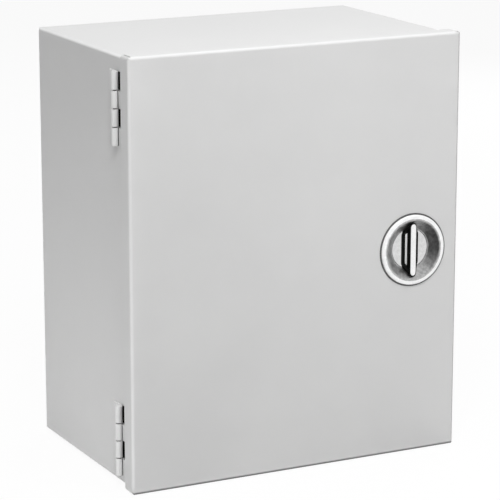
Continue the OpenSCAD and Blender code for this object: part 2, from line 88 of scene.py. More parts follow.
class NodeBench:
    """Adds nodes and links to one shader node tree."""

    def __init__(self, tree: NodeTree) -> None:
        """Keeps the tree that is worked on."""
        self.tree = tree

    def add(self, kind: str, **settings: object) -> Node:
        """Adds a node.

        Args:
            kind: Blender's name of the node type.
            settings: properties to set on the new node.

        Returns:
            The new node.
        """
        node = self.tree.nodes.new(kind)
        for key, value in settings.items():
            setattr(node, key, value)
        return node

    def feed(self, target: NodeSocket, value: Feed) -> None:
        """Links a socket to another one, or sets it to a plain value.

        Args:
            target: socket that takes the value.
            value: socket to link from, number or colour.
        """
        if isinstance(value, NodeSocket):
            self.tree.links.new(value, target)
        else:
            target.default_value = value

    def fill(self, node: Node, values: dict[str, Feed]) -> None:
        """Feeds several inputs of a node, by their names."""
        for name, value in values.items():
            self.feed(node.inputs[name], value)

    def noise(self, place: NodeSocket, scale: float, detail: float, rough: float = 0.5) -> NodeSocket:
        """Adds a noise texture.

        Args:
            place: coordinates to read.
            scale: repeats per metre.
            detail: octaves.
            rough: weight of the finer octaves.

        Returns:
            The socket with the noise.
        """
        node = self.add("ShaderNodeTexNoise")
        self.fill(node, {"Vector": place, "Scale": scale, "Detail": detail, "Roughness": rough})
        return node.outputs["Fac"]

    def cells(self, place: NodeSocket, scale: float) -> NodeSocket:
        """Adds a pattern of cells.

        Args:
            place: coordinates to read.
            scale: repeats per metre.

        Returns:
            The socket with the distance from the middle of the nearest cell.
        """
        node = self.add("ShaderNodeTexVoronoi", feature="F1")
        self.fill(node, {"Vector": place, "Scale": scale})
        return node.outputs["Distance"]

    def span(
        self, value: NodeSocket, low: float, high: float, to_low: Feed = 0.0, to_high: Feed = 1.0
    ) -> NodeSocket:
        """Maps a value from one span to another, held at both ends.

        Args:
            value: socket to map.
            low: lower end of the source span.
            high: upper end of the source span.
            to_low: result at the lower end.
            to_high: result at the upper end.

        Returns:
            The socket with the result.
        """
        node = self.add("ShaderNodeMapRange", clamp=True)
        ends = {"From Min": low, "From Max": high, "To Min": to_low, "To Max": to_high}
        self.fill(node, {"Value": value, **ends})
        return node.outputs["Result"]

    def calc(self, operation: str, *values: Feed) -> NodeSocket:
        """Joins values by one step of arithmetic.

        Args:
            operation: Blender's name of the step.
            values: sockets or plain numbers, in the step's order.

        Returns:
            The socket with the result.
        """
        node = self.add("ShaderNodeMath", operation=operation)
        for index, value in enumerate(values):
            self.feed(node.inputs[index], value)
        return node.outputs[0]

    def blend(self, factor: NodeSocket, first: Feed, second: Feed) -> NodeSocket:
        """Mixes two colours by a factor.

        Args:
            factor: 0 for the first colour, 1 for the second.
            first: first colour.
            second: second colour.

        Returns:
            The socket with the mixed colour.
        """
        node = self.add("ShaderNodeMix", data_type="RGBA")
        for index, value in ((0, factor), (6, first), (7, second)):
            self.feed(node.inputs[index], value)
        return node.outputs[2]


class TextureGroups:
    """Surface effects that several finishes share, each built once as a node group."""

    given = {
        "Vector": "NodeSocketVector",
        "First Tone": "NodeSocketColor",
        "Second Tone": "NodeSocketColor",
        "Roughness Low": "NodeSocketFloat",
        "Roughness High": "NodeSocketFloat",
    }
    made = {"Color": "NodeSocketColor", "Roughness": "NodeSocketFloat", "Height": "NodeSocketFloat"}

    @classmethod
    def group(cls, effect: Effect) -> NodeTree:
        """Returns the node group of an effect, made on first use."""
        makers = {
            Effect.POWDER: cls.powder_coat,
            Effect.CAST: cls.cast_metal,
            Effect.ZINC: cls.zinc_spangle,
            Effect.FOAM: cls.closed_foam,
        }
        found = bpy.data.node_groups.get(effect.value)
        if found:
            return found
        bench, given = start_group(effect.value, cls.given, cls.made)
        makers[effect](bench, given)
        return bench.tree

    @staticmethod
    def close(
        bench: NodeBench,
        given: Node,
        tone: tuple[NodeSocket, float, float],
        gloss: tuple[NodeSocket, float, float],
        height: NodeSocket,
    ) -> None:
        """Joins an effect's values to the outputs of its group.

        Args:
            bench: bench on the group.
            given: the group's input node.
            tone: value that mixes the tones, with the span over which it does.
            gloss: value that sets the roughness, with the span over which it does.
            height: height of the relief.
        """
        shade = bench.blend(bench.span(*tone), given.outputs["First Tone"], given.outputs["Second Tone"])
        rough = bench.span(*gloss, given.outputs["Roughness Low"], given.outputs["Roughness High"])
        bench.fill(bench.add("NodeGroupOutput"), {"Color": shade, "Roughness": rough, "Height": height})

    @classmethod
    def powder_coat(cls, bench: NodeBench, given: Node) -> None:
        """Makes the baked powder paint: orange peel, fine speckle and slow clouds of tone.

        Args:
            bench: bench on the empty group.
            given: the group's input node.
        """
        place = given.outputs["Vector"]
        peel = bench.noise(place, 420.0, 2.0)
        speckle = bench.noise(place, 2600.0, 1.0)
        clouds = bench.noise(place, 9.0, 3.0, 0.6)
        tone = bench.calc("MULTIPLY_ADD", speckle, 0.7, clouds)
        gloss = bench.calc("MULTIPLY_ADD", peel, 0.5, clouds)
        height = bench.calc("MULTIPLY_ADD", speckle, 0.25, peel)
        cls.close(bench, given, (tone, 0.55, 1.15), (gloss, 0.5, 1.0), height)

    @classmethod
    def cast_metal(cls, bench: NodeBench, given: Node) -> None:
        """Makes the buffed casting: blotches of tone, fine pits and short buffing streaks.

        Args:
            bench: bench on the empty group.
            given: the group's input node.
        """
        place = given.outputs["Vector"]
        blotch = bench.noise(place, 320.0, 4.0, 0.65)
        pits = bench.noise(place, 2200.0, 2.0)
        drawn = bench.add("ShaderNodeMapping")
        bench.fill(drawn, {"Vector": place, "Scale": (1.0, 1.0, 0.08)})
        streak = bench.noise(drawn.outputs["Vector"], 1800.0, 2.0)
        tone = bench.calc("MULTIPLY_ADD", streak, 0.25, blotch)
        height = bench.calc("MULTIPLY_ADD", pits, 0.3, blotch)
        cls.close(bench, given, (tone, 0.45, 0.8), (blotch, 0.35, 0.7), height)

    @classmethod
    def zinc_spangle(cls, bench: NodeBench, given: Node) -> None:
        """Makes the zinc plating: faint crystal patches over a fine grain.

        Args:
            bench: bench on the empty group.
            given: the group's input node.
        """
        place = given.outputs["Vector"]
        patch = bench.cells(place, 900.0)
        grain = bench.noise(place, 3000.0, 2.0)
        cloud = bench.noise(place, 160.0, 3.0)
        tone = bench.calc("MULTIPLY_ADD", patch, 0.5, cloud)
        cls.close(bench, given, (tone, 0.4, 0.95), (grain, 0.3, 0.7), grain)

    @classmethod
    def closed_foam(cls, bench: NodeBench, given: Node) -> None:
        """Makes the closed-cell foam: small round cells with dusty walls.

        Args:
            bench: bench on the empty group.
            given: the group's input node.
        """
        place = given.outputs["Vector"]
        cells = bench.cells(place, 1400.0)
        dust = bench.noise(place, 240.0, 3.0)
        tone = bench.calc("MULTIPLY_ADD", dust, 0.6, cells)
        cls.close(bench, given, (tone, 0.3, 1.1), (dust, 0.0, 1.0), cells)


class FoldLines:
    """Lines painted along the folds of a sheet box: a painted highlight on the folds at the left and above, and
    painted shade on the lower and right front folds.
    """

    name = "fold lines"
    sizes = ("Half Width", "Half Height", "Front", "Radius")
    masks = ("Pale", "Painted Shade")
    # Distances, in radii of the folds, over which the lines fade
    beside_line, before_corner = (0.3, 0.9), (1.2, 2.4)
    dust_low, dust_right, dust_deep = (0.5, 1.0), (0.3, 0.8), (0.6, 1.0)
    # Share of the painted shade that the right fold has
    right_share = 0.5

    @classmethod
    def group(cls) -> NodeTree:
        """Returns the node group, with a mask of the painted highlight on the folds and one of the painted
        shade on them.
        """
        found = bpy.data.node_groups.get(cls.name)
        if found:
            return found
        numbers = dict.fromkeys(cls.sizes, "NodeSocketFloat")
        masks = dict.fromkeys(cls.masks, "NodeSocketFloat")
        bench, given = start_group(cls.name, {"Vector": "NodeSocketVector", **numbers}, masks)
        half_w, half_h, front, radius = (given.outputs[size] for size in cls.sizes)
        place = bench.add("ShaderNodeSeparateXYZ")
        bench.feed(place.inputs[0], given.outputs["Vector"])
        across, depth, up = place.outputs

        def away(operation: str, first: NodeSocket, second: NodeSocket) -> NodeSocket:
            """Returns the distance from one face, counted in radii of the folds."""
            return bench.calc("DIVIDE", bench.calc(operation, first, second), radius)

        left, right = away("ADD", half_w, across), away("SUBTRACT", half_w, across)
        low, high = away("ADD", half_h, up), away("SUBTRACT", half_h, up)
        deep = away("SUBTRACT", depth, front)
        side = bench.calc("MINIMUM", right, left)
        level = bench.calc("MINIMUM", low, high)
        nearest = bench.calc("MINIMUM", side, level)
        second = bench.calc("MINIMUM", bench.calc("MAXIMUM", side, level), deep)
        fold = bench.span(bench.calc("MAXIMUM", nearest, second), *cls.beside_line, 1.0, 0.0)
        clear = bench.calc("MULTIPLY", bench.span(right, *cls.before_corner), fold)
        # Painted highlight: the folds away from the right and lower faces
        pale = bench.calc("MULTIPLY", bench.span(low, *cls.before_corner), clear)
        # Painted shade: the lower front fold, and the right front fold at half strength
        on_right = bench.span(right, *cls.dust_right, cls.right_share, 0.0)
        dust = bench.calc("MAXIMUM", bench.span(low, *cls.dust_low, 1.0, 0.0), on_right)
        painted_shade = bench.calc("MULTIPLY", dust, bench.span(deep, *cls.dust_deep, 1.0, 0.0))
        bench.fill(bench.add("NodeGroupOutput"), {"Pale": pale, "Painted Shade": painted_shade})
        return bench.tree


def start_group(name: str, given: dict[str, str], made: dict[str, str]) -> tuple[NodeBench, Node]:
    """Makes an empty shader node group with its sockets.

    Args:
        name: name of the group.
        given: names and types of its inputs.
        made: names and types of its outputs.

    Returns:
        A bench on the group and its input node.
    """
    group = bpy.data.node_groups.new(name, "ShaderNodeTree")
    for way, sockets in (("INPUT", given), ("OUTPUT", made)):
        for label, kind in sockets.items():
            group.interface.new_socket(label, in_out=way, socket_type=kind)
    bench = NodeBench(group)
    return bench, bench.add("NodeGroupInput")


@dataclass(frozen=True)
class Folds:
    """Folds of a painted sheet box and the painted highlight and painted shade along them.

    Attributes:
        half_w: half of the box's width, in millimetres.
        half_h: half of the box's height.
        front: depth of its front face.
        radius: outside radius of the folds.
        pale: tone of the painted highlight on the folds at the left and above, linear.
        painted_shade: tone of the painted shade on the lower and right front folds, linear.
    """

    half_w: float
    half_h: float
    front: float
    radius: float = 2.5
    pale: Colour = grey(0.74)
    painted_shade: Colour = grey(0.09)

    def over(self, bench: NodeBench, place: NodeSocket, base: NodeSocket) -> NodeSocket:
        """Lays the fold lines, a painted highlight and painted shade, over a paint.

        Args:
            bench: bench on the paint's node tree.
            place: socket with Object coordinates.
            base: socket with the paint's colour.

        Returns:
            The socket with the colour of both.
        """
        lines = bench.add("ShaderNodeGroup", node_tree=FoldLines.group())
        sizes = (self.half_w, self.half_h, self.front, self.radius)
        bench.fill(lines, {name: size * MM for name, size in zip(FoldLines.sizes, sizes)})
        bench.feed(lines.inputs["Vector"], place)
        for mask, tone in zip(FoldLines.masks, (self.pale, self.painted_shade)):
            base = bench.blend(lines.outputs[mask], base, (*tone, 1.0))
        return base


@dataclass(frozen=True)
class Finish:
    """One surface finish: an effect with its own tones and gloss.

    Attributes:
        slot: the record's material slot.
        effect: surface effect that varies over the piece.
        first: first tone, linear.
        second: second tone, linear.
        gloss: lowest and highest roughness.
        bump: depth of the relief in millimetres.
        metal: share of bare metal.
        coat: weight of a clear coat.
        shine: strength of the mirror part of a surface that isn't metal.
        label: name of the finish where a slot has more than one.
        folds: folds of the sheet, where they show lines of painted highlight and painted shade.
        relief: strength of the relief.
        coat_rough: roughness of the clear coat.
    """

    slot: str
    effect: Effect
    first: Colour
    second: Colour
    gloss: tuple[float, float]
    bump: float
    metal: float = 0.0
    coat: float = 0.0
    shine: float = 0.5
    label: str = ""
    folds: Folds | None = None
    relief: float = 0.6
    coat_rough: float = 0.3

    def material(self) -> Material:
        """Returns the finish's material, made on first use."""
        name = "finish " + (self.label or self.slot)
        found = bpy.data.materials.get(name)
        if found:
            return found
        made = bpy.data.materials.new(name)
        made.use_nodes = True
        bench = NodeBench(made.node_tree)
        place = bench.add("ShaderNodeTexCoord").outputs["Object"]
        effect = bench.add("ShaderNodeGroup", node_tree=TextureGroups.group(self.effect))
        tones = {"First Tone": (*self.first, 1.0), "Second Tone": (*self.second, 1.0)}
        gloss = {"Roughness Low": self.gloss[0], "Roughness High": self.gloss[1]}
        bench.fill(effect, {"Vector": place, **tones, **gloss})
        bump = bench.add("ShaderNodeBump")
        depth = {"Strength": self.relief, "Distance": self.bump * MM}
        bench.fill(bump, {"Height": effect.outputs["Height"], **depth})
        colour = effect.outputs["Color"]
        if self.folds:
            colour = self.folds.over(bench, place, colour)
        surface = {
            "Base Color": colour,
            "Roughness": effect.outputs["Roughness"],
            "Normal": bump.outputs["Normal"],
            "Metallic": self.metal,
            "Specular IOR Level": self.shine,
            "Coat Weight": self.coat,
            "Coat Roughness": self.coat_rough,
        }
        bench.fill(made.node_tree.nodes["Principled BSDF"], surface)
        return made


STEEL_GREY = (grey(0.585), (0.635, 0.635, 0.633))
# Fold lines on the box and door: a painted highlight on the left and upper folds, painted shade on the lower
# and right front folds
BODY_FOLDS = Folds(127.0, 152.4, -160.0, pale=grey(0.88))
DOOR_FOLDS = Folds(130.1, 154.3, -166.5)
BODY_PAINT = Finish("body_paint", Effect.POWDER, *STEEL_GREY, (0.38, 0.48), 0.02, coat=0.12, folds=BODY_FOLDS)
DOOR_PAINT = Finish("door_paint", Effect.POWDER, *STEEL_GREY, (0.36, 0.46), 0.02, coat=0.12, folds=DOOR_FOLDS)
HINGE_PAINT = Finish("hinge_paint", Effect.POWDER, *STEEL_GREY, (0.34, 0.44), 0.02, coat=0.15)
# A lighter copy of the hinge paint: painted highlight on the knuckles, the pin heads and the top end of the
# box's leaf
HINGE_HIGHLIGHT_PAINT = Finish(
    slot="hinge_paint",
    effect=Effect.POWDER,
    first=grey(0.72),
    second=(0.8, 0.8, 0.798),
    gloss=(0.3, 0.4),
    bump=0.02,
    coat=0.15,
    label="knuckle paint",
)
PANEL_PAINT = Finish(
    slot="panel_paint",
    effect=Effect.POWDER,
    first=(0.79, 0.79, 0.78),
    second=(0.84, 0.84, 0.83),
    gloss=(0.4, 0.5),
    bump=0.02,
    coat=0.1,
)
GASKET_FOAM = Finish("gasket_foam", Effect.FOAM, grey(0.012), grey(0.04), (0.75, 0.95), 0.12)
SEAL_RUBBER = Finish("seal_rubber", Effect.FOAM, grey(0.07), grey(0.13), (0.6, 0.75), 0.02, shine=0.2)
# Near-black material: painted shade in the hinge gaps, in the creases and on the pin
SHADE_BLACK = Finish(
    slot="gasket_foam",
    effect=Effect.FOAM,
    first=grey(0.001),
    second=grey(0.004),
    gloss=(0.8, 0.95),
    bump=0.02,
    shine=0.05,
    label="painted shade black",
)
ZINC_PLATE = Finish(
    slot="zinc_plate",
    effect=Effect.ZINC,
    first=(0.5, 0.51, 0.53),
    second=(0.66, 0.67, 0.68),
    gloss=(0.26, 0.42),
    bump=0.01,
    metal=1.0,
)


def cast(
    label: str, tones: tuple[float, float], gloss: tuple[float, float], bump: float, **more: float
) -> Finish:
    """Returns a finish of the cast latch.

    Args:
        label: name of the finish.
        tones: lower and upper grey, linear.
        gloss: lowest and highest roughness.
        bump: depth of the relief in millimetres.
        more: other fields of the finish.

    Returns:
        The finish.
    """
    return Finish("latch_chrome", Effect.CAST, grey(tones[0]), grey(tones[1]), gloss, bump, label=label, **more)


# The rim is near-white and not metal: a painted highlight of its polish
RIM_PAINTED_HIGHLIGHT = cast("rim metal", (0.86, 0.94), (0.2, 0.3), 0.01)
CUP_METAL = cast("cup metal", (0.36, 0.68), (0.42, 0.56), 0.06, metal=1.0)
DISC_METAL = cast("disc metal", (0.64, 0.72), (0.06, 0.14), 0.008, metal=1.0)
GRIP_METAL = cast("grip metal", (0.86, 0.94), (0.1, 0.2), 0.01, metal=1.0)
# Near-white, not metal: a painted highlight along the blade's foot
FOOT_PAINTED_HIGHLIGHT = cast("foot painted highlight", (0.84, 0.92), (0.35, 0.5), 0.01)
# Near-black grip finish: the blade itself, and a painted reflection of it on the disc and in the bowl
GRIP_BLACK_WITH_PAINTED_REFLECTION = cast("grip black and painted reflection", (0.003, 0.008), (0.3, 0.42), 0.01, shine=0.12)


# Mesh helpers


def piece(
    bm: BMesh,
    name: str,
    part: Part,
    finish: Finish,
    nodes: tuple[str, ...] = (),
    crease: float = 32.0,
) -> None:
    """Turns a bmesh into a finished piece that rides on one body.

    Args:
        bm: mesh in its place at rest; it is freed here.
        name: name of the piece.
        part: body that the piece rides on.
        finish: surface finish.
        nodes: solids that the piece stands for.
        crease: angle in degrees above which an edge stays sharp.
    """
    mesh = bpy.data.meshes.new(name)
    bm.to_mesh(mesh)
    bm.free()
    mesh.shade_smooth()
    mesh.set_sharp_from_angle(angle=math.radians(crease))
    mesh.materials.append(finish.material())
    made = bpy.data.objects.new(name, mesh)
    bpy.context.scene.collection.objects.link(made)
    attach(made, part.value)
    if nodes:
        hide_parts(*nodes)
    LOG.info("%s: %d faces on %s", name, len(mesh.polygons), part.value)


def dress(node: str, finish: Finish) -> None:
    """Gives a solid that is shown as it is a finish.

    Args:
        node: name of the solid.
        finish: surface finish.
    """
    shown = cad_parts[node]
    shown.data.materials.clear()
    shown.data.materials.append(finish.material())
    LOG.info("%s: dressed", node)


def lathe(outline: Outline, steps: int) -> BMesh:
    """Spins a closed outline about Z.

    Args:
        outline: corners as (radius, height) in millimetres.
        steps: faces round the turn.

    Returns:
        The closed turned mesh.
    """
    bm = bmesh.new()
    corners = [bm.verts.new((r * MM, 0.0, h * MM)) for r, h in outline]
    rims = [bm.edges.new((a, b)) for a, b in zip(corners, corners[1:] + corners[:1])]
    bmesh.ops.spin(
        bm,
        geom=corners + rims,
        cent=(0.0, 0.0, 0.0),
        axis=(0.0, 0.0, 1.0),
        dvec=(0.0, 0.0, 0.0),
        angle=TURN,
        steps=steps,
        use_merge=True,
        use_duplicate=False,
    )
    bmesh.ops.remove_doubles(bm, verts=bm.verts, dist=1e-6)
    bmesh.ops.dissolve_degenerate(bm, edges=bm.edges, dist=1e-7)
    bmesh.ops.recalc_face_normals(bm, faces=bm.faces)
    return bm


def tube(bore: float, radius: float, low: float, high: float, steps: int) -> BMesh:
    """Makes a straight ring about Z, or a rod where its bore is 0.

    Args:
        bore: inside radius in millimetres.
        radius: outside radius in millimetres.
        low: height of its lower end in millimetres.
        high: height of its upper end in millimetres.
        steps: faces round the turn.

    Returns:
        The ring's mesh.
    """
    return lathe([(bore, low), (radius, low), (radius, high), (bore, high)], steps)


def round_edges(bm: BMesh, edges: list[BMEdge], size: float, segments: int) -> None:
    """Rounds edges of a mesh.

    Args:
        bm: mesh to round.
        edges: its edges that are rounded.
        size: size of the rounding in millimetres.
        segments: faces across the rounding.
    """
    bmesh.ops.bevel(
        bm,
        geom=edges,
        offset=size * MM,
        offset_type="OFFSET",
        segments=segments,
        profile=0.5,
        affect="EDGES",
        material=-1,
    )


def round_ring(bm: BMesh, radius: float, height: float, size: float, segments: int) -> None:
    """Rounds one circular edge of a turned mesh.

    Args:
        bm: turned mesh about Z.
        radius: radius of the edge in millimetres.
        height: height of the edge in millimetres.
        size: size of the rounding in millimetres.
        segments: faces across the rounding.
    """

    def on_ring(vert: BMVert) -> bool:
        """Tells whether a vertex lies on the edge."""
        away = math.hypot(vert.co.x, vert.co.y) - radius * MM
        return abs(away) < 1e-5 and abs(vert.co.z - height * MM) < 1e-5

    round_edges(bm, [e for e in bm.edges if all(on_ring(v) for v in e.verts)], size, segments)


def soften(bm: BMesh, size: float, segments: int = 2, angle: float = 35.0) -> None:
    """Rounds every sharp edge of a closed mesh.

    Args:
        bm: mesh to round.
        size: size of the rounding in millimetres.
        segments: faces across the rounding.
        angle: angle in degrees between faces from which an edge counts as sharp.
    """
    limit = math.radians(angle)
    sharp = [e for e in bm.edges if len(e.link_faces) == 2 and e.calc_face_angle(0.0) > limit]
    round_edges(bm, sharp, size, segments)


def upright(bm: BMesh, rise: float) -> list[BMEdge]:
    """Returns the edges that rise by more than a height in millimetres."""
    return [e for e in bm.edges if abs(e.verts[0].co.z - e.verts[1].co.z) > rise * MM]


def above(bm: BMesh, height: float) -> list[BMVert]:
    """Returns the vertices above a height in millimetres."""
    return [v for v in bm.verts if v.co.z > height * MM]


def thicken(bm: BMesh, height: float) -> None:
    """Pulls a flat mesh up into a closed solid.

    Args:
        bm: flat mesh on Z = 0.
        height: thickness of the solid in millimetres.
    """
    grown = bmesh.ops.extrude_face_region(bm, geom=bm.faces[:], use_keep_orig=True)
    tops = [g for g in grown["geom"] if isinstance(g, BMVert)]
    bmesh.ops.translate(bm, vec=(0.0, 0.0, height * MM), verts=tops)
    bmesh.ops.recalc_face_normals(bm, faces=bm.faces)


def block(low: Point, high: Point) -> BMesh:
    """Makes a block between two corners.

    Args:
        low: lowest corner in millimetres.
        high: highest corner in millimetres.

    Returns:
        The block's mesh.
    """
    bm = bmesh.new()
    bmesh.ops.create_cube(bm, size=1.0)
    size = [(b - a) * MM for a, b in zip(low, high)]
    middle = [(a + b) / 2 * MM for a, b in zip(low, high)]
    bmesh.ops.scale(bm, vec=size, verts=bm.verts)
    bmesh.ops.translate(bm, vec=middle, verts=bm.verts)
    return bm


def put(bm: BMesh, spot: Matrix) -> BMesh:
    """Moves a mesh to its place and returns it."""
    bmesh.ops.transform(bm, matrix=spot, verts=bm.verts)
    return bm


def merge(parts: list[BMesh]) -> BMesh:
    """Gathers several meshes in one.

    Args:
        parts: meshes to gather; they are freed here.

    Returns:
        One mesh with all of them.
    """
    whole = bmesh.new()
    for bm in parts:
        carrier = bpy.data.meshes.new("carrier")
        bm.to_mesh(carrier)
        bm.free()
        whole.from_mesh(carrier)
        bpy.data.meshes.remove(carrier)
    return whole


def facing(way: Facing, x: float, y: float, z: float) -> Matrix:
    """Returns the place of a turned piece that starts at a point, in millimetres, and points one way."""
    return Matrix.Translation(Vector((x, y, z)) * MM) @ Matrix.Rotation(math.radians(way.value), 4, "X")


def along(spot: Matrix, height: float) -> Matrix:
    """Returns the place that lies farther along a turned piece's axis, by a height in millimetres."""
    return spot @ Matrix.Translation((0.0, 0.0, height * MM))


# Fasteners


@dataclass(frozen=True)
class Thread:
    """A screw thread.

    Attributes:
        radius: outside radius in millimetres.
        pitch: distance of the turns in millimetres.
        depth: depth of the grooves in millimetres.
    """

    radius: float
    pitch: float
    depth: float

    def outline(self, start: float, end: float) -> Outline:
        """Works out the edge of the thread.

        Args:
            start: height of its lower end in millimetres.
            end: height of its upper end in millimetres.

        Returns:
            The corners of the grooves, as (radius, height).
        """
        turns = max(1, int((end - start) / self.pitch))
        step = (end - start) / turns
        groove = ((self.radius, 0.1), (self.radius - self.depth, 0.5), (self.radius, 0.9))
        return [(r, start + (turn + share) * step) for turn in range(turns) for r, share in groove]


@dataclass(frozen=True)
class Fastener:
    """Stud, washer and nut of one thread size, in millimetres.

    Attributes:
        thread: thread of the stud.
        washer_r: outside radius of the washer.
        washer_t: thickness of the washer.
        nut_af: width of the nut across flats.
        nut_t: thickness of the nut.
        past: length of the stud past its nut.
        tip: chamfer at the stud's end.
        washer_fit: play of the washer on the stud.
        nut_fit: play of the nut on the stud.
    """

    thread: Thread
    washer_r: float
    washer_t: float
    nut_af: float
    nut_t: float
    past: float = 3.0
    tip: float = 0.5
    washer_fit: float = 0.2
    nut_fit: float = 0.06

    def stud(self, smooth: float = 0.0, grip: float = 0.0) -> BMesh:
        """Makes a threaded stud that points to +Z from its foot.

        Args:
            smooth: length of plain shank at its foot in millimetres.
            grip: thickness of what is held under the washer in millimetres.

        Returns:
            The stud's mesh.
        """
        r = self.thread.radius
        length = smooth + grip + self.washer_t + self.nut_t + self.past
        outline = [(0.0, 0.0), (r, 0.0), (r, smooth + 0.05)]
        outline += self.thread.outline(smooth + 0.1, length - self.tip)
        outline += [(r, length - self.tip), (r - self.tip, length), (0.0, length)]
        return lathe(outline, 28)

    def washer(self) -> BMesh:
        """Returns a washer that lies on Z = 0, with softened rims."""
        bm = tube(self.thread.radius + self.washer_fit, self.washer_r, 0.0, self.washer_t, 48)
        soften(bm, 0.16)
        return bm

    def nut(self) -> BMesh:
        """Returns a hexagon nut that lies on Z = 0, with chamfered corners and bore."""
        bm = bmesh.new()
        corner = self.nut_af / math.sqrt(3.0)
        bore = self.thread.radius + self.nut_fit
        bmesh.ops.create_circle(bm, cap_ends=False, radius=corner * MM, segments=6)
        bmesh.ops.subdivide_edges(bm, edges=bm.edges[:], cuts=3, use_grid_fill=False)
        bmesh.ops.create_circle(bm, cap_ends=False, radius=bore * MM, segments=24)
        put(bm, Matrix.Rotation(math.radians(30.0), 4, "Z"))
        bmesh.ops.bridge_loops(bm, edges=bm.edges[:])
        thicken(bm, self.nut_t)
        soften(bm, 0.35, 3, 25.0)
        return bm

    def set_up(self, foot: Matrix, part: Part, label: str, node: str) -> None:
        """Makes a ground point: a stud with its washer and nut.

        Args:
            foot: place of the stud's foot.
            part: body that carries the stud.
            label: first words of the pieces' names.
            node: first words of the names of the solids that they stand for.
        """
        meshes = {
            "stud": put(self.stud(), foot),
            "washer": put(self.washer(), foot),
            "nut": put(self.nut(), along(foot, self.washer_t)),
        }
        for kind, bm in meshes.items():
            piece(bm, f"{label}_{kind}", part, ZINC_PLATE, (f"{node}_{kind}",))


SIX_MM = Fastener(Thread(3.0, 1.0, 0.45), washer_r=6.0, washer_t=1.2, nut_af=10.0, nut_t=5.0)


# Sub-assemblies


@dataclass
class SteelBox:
    """The folded box with its back panel, studs and ground point, in millimetres.

    Attributes:
        back_in: inside face of the back wall.
        stud_x: distance of the panel studs from the middle.
        stud_z: height of the panel studs over the middle.
        standoff: height of the collars that carry the panel.
        collar_r: radius of the collars.
        panel_t: thickness of the panel.
        ground_z: height of the ground stud.
        fastener: studs, nuts and washers inside the box.
    """

    back_in: float = -1.5
    stud_x: float = 89.6
    stud_z: float = 115.0
    standoff: float = 12.0
    collar_r: float = 5.5
    panel_t: float = 1.9
    ground_z: float = -139.4
    fastener: Fastener = SIX_MM

    def build(self) -> None:
        """Dresses the shell, lip and panel and makes the hardware."""
        dress("body_shell", BODY_PAINT)
        dress("body_lip", BODY_PAINT)
        dress("back_panel", PANEL_PAINT)
        tool = self.fastener
        seat = self.standoff + self.panel_t
        studs, washers, nuts = [], [], []
        for x in (-self.stud_x, self.stud_x):
            for z in (-self.stud_z, self.stud_z):
                spot = facing(Facing.FRONT, x, self.back_in, z)
                studs += [put(tool.stud(self.standoff, self.panel_t), spot), put(self.collar(), spot)]
                washers.append(put(tool.washer(), along(spot, seat)))
                nuts.append(put(tool.nut(), along(spot, seat + tool.washer_t)))
        piece(merge(studs), "panel_collar_studs", Part.BOX, ZINC_PLATE, ("panel_studs",))
        piece(merge(washers), "panel_fixing_washers", Part.BOX, ZINC_PLATE, ("panel_washers",))
        piece(merge(nuts), "panel_fixing_nuts", Part.BOX, ZINC_PLATE, ("panel_nuts",))
        ground = facing(Facing.FRONT, 0.0, self.back_in, self.ground_z)
        tool.set_up(ground, Part.BOX, "box_ground", "ground")

    def collar(self) -> BMesh:
        """Returns the collar that carries the panel on one stud, rounded at its front."""
        bm = tube(0.0, self.collar_r, 0.0, self.standoff, 40)
        round_ring(bm, self.collar_r, self.standoff, 0.4, 3)
        return bm


@dataclass
class LappedDoor:
    """The folded door with its gasket and ground point, in millimetres.

    Attributes:
        inner: inside face of the door.
        lip: front face of the box's lip.
        gasket_w: outside width of the gasket.
        gasket_h: outside height of the gasket.
        gasket_band: width of the foam strip.
        gasket_round: rounding of the foam's edges.
        ground: place of the ground stud across and up.
        fastener: stud, nut and washer of the ground point.
    """

    inner: float = -165.0
    lip: float = -160.0
    gasket_w: float = 253.0
    gasket_h: float = 303.8
    gasket_band: float = 9.0
    gasket_round: float = 1.2
    ground: tuple[float, float] = (-98.1, -126.3)
    fastener: Fastener = SIX_MM

    def build(self) -> None:
        """Dresses the door and makes its gasket and ground point."""
        dress("door_panel", DOOR_PAINT)
        piece(self.gasket(), "foam_gasket", Part.DOOR, GASKET_FOAM, ("door_gasket",))
        ground = facing(Facing.BACK, self.ground[0], self.inner, self.ground[1])
        self.fastener.set_up(ground, Part.DOOR, "door_earth", "door_ground")

    def gasket(self) -> BMesh:
        """Returns the foam frame, with rounded edges towards the lip."""
        bm = bmesh.new()
        bmesh.ops.create_grid(bm, x_segments=1, y_segments=1, size=0.5)
        bmesh.ops.scale(bm, vec=(self.gasket_w * MM, self.gasket_h * MM, 1.0), verts=bm.verts)
        middle = bm.faces[:]
        band = self.gasket_band * MM
        bmesh.ops.inset_region(bm, faces=middle, thickness=band, use_boundary=True, use_even_offset=True)
        bmesh.ops.delete(bm, geom=middle, context="FACES")
        thicken(bm, self.lip - self.inner)
        soften(bm, self.gasket_round, 4)
        return put(bm, facing(Facing.BACK, 0.0, self.inner, 0.0))


